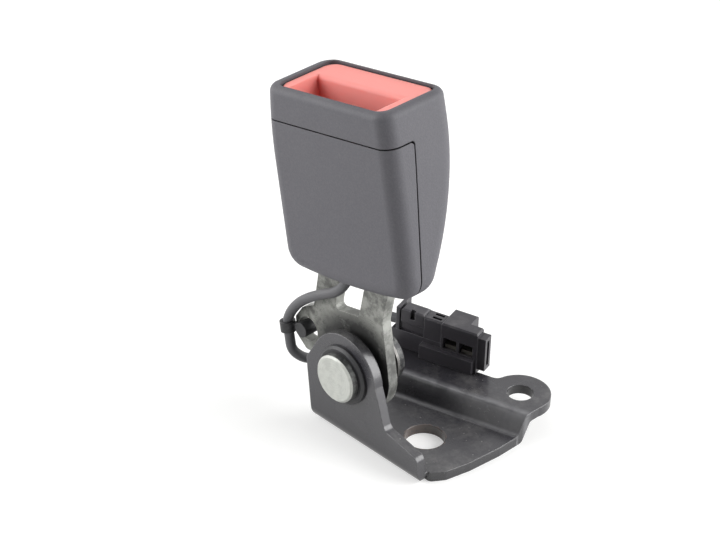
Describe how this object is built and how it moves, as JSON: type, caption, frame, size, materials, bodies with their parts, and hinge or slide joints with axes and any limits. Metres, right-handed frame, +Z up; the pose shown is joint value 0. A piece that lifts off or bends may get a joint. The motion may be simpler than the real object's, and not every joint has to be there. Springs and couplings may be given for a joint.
{
  "type": "seat belt buckle",
  "caption": "Seat belt buckle with a red press button in a black housing, on a steel strap that swivels on a riveted floor bracket, with a switch lead and connector.",
  "frame": {"origin": "centre of the anchor bolt hole on the bracket's underside", "axes": "+Z up along the bolt hole's axis, +Y to the back along the pivot rivet, +X to the right along the ear"},
  "size_m": [0.076, 0.0616, 0.118],
  "materials": {
    "black_coat": "satin black coat on stamped steel",
    "zinc_bright": "bright zinc plate",
    "strap_zinc": "dull zinc plate on stamped steel",
    "spring_steel": "oiled spring steel",
    "shell_black": "fine-grained black plastic",
    "button_red": "red moulded plastic",
    "black_nylon": "black nylon",
    "connector_black": "smooth black plastic",
    "lead_sheath": "black sheath",
    "tinned_brass": "tinned terminals"
  },
  "bodies": {
    "bracket": {"anchor_bracket": "black_coat", "pivot_rivet": "zinc_bright", "pivot_bush": "black_nylon", "spacer_bush": "black_nylon", "friction_springs": "spring_steel", "tail_washer": "zinc_bright", "connector_housing": "connector_black", "connector_plug": "connector_black", "connector_lock": "connector_black", "connector_clip": "connector_black", "connector_terminals": "tinned_brass", "lead_lower": "lead_sheath"},
    "stalk": {"strap": "strap_zinc", "frame_rivets": "zinc_bright", "buckle_frame": "strap_zinc", "rear_shell": "shell_black", "front_cover": "shell_black", "lead_clip": "black_nylon", "lead_upper": "lead_sheath", "switch_housing": "connector_black", "switch_feeler": "black_nylon", "latch_pin": "zinc_bright", "latch_spring": "spring_steel", "ejector_spring": "spring_steel", "button_springs": "spring_steel"},
    "button": {"press_button": "button_red"},
    "ejector": {"ejector": "black_nylon"},
    "latch": {"latch_plate": "strap_zinc"}
  },
  "joints": [
    {"name": "stalk_pivot", "type": "hinge", "parent": "bracket", "child": "stalk", "pos_m": [-0.0195, 0, 0.0236], "axis": [0, 1, 0], "range_deg": [-20, 30], "deforming": ["lead_lower"]},
    {"name": "button_slide", "type": "slide", "parent": "stalk", "child": "button", "axis": [0.2147, 0, -0.9767], "range_m": [0, 0.004], "stiffness_N_per_m": 1500, "deforming": ["button_springs"]},
    {"name": "ejector_slide", "type": "slide", "parent": "stalk", "child": "ejector", "axis": [0.2147, 0, -0.9767], "range_m": [0, 0.007], "stiffness_N_per_m": 800, "deforming": ["ejector_spring"]},
    {"name": "latch_pivot", "type": "hinge", "parent": "stalk", "child": "latch", "pos_m": [-0.02512, 0.0016, 0.08175], "axis": [-0.9767, 0, -0.2147], "range_deg": [0, 20]}
  ],
  "couplings": [
    {"joint": "latch_pivot", "follows": "button_slide", "rad_per_m": 87}
  ]
}
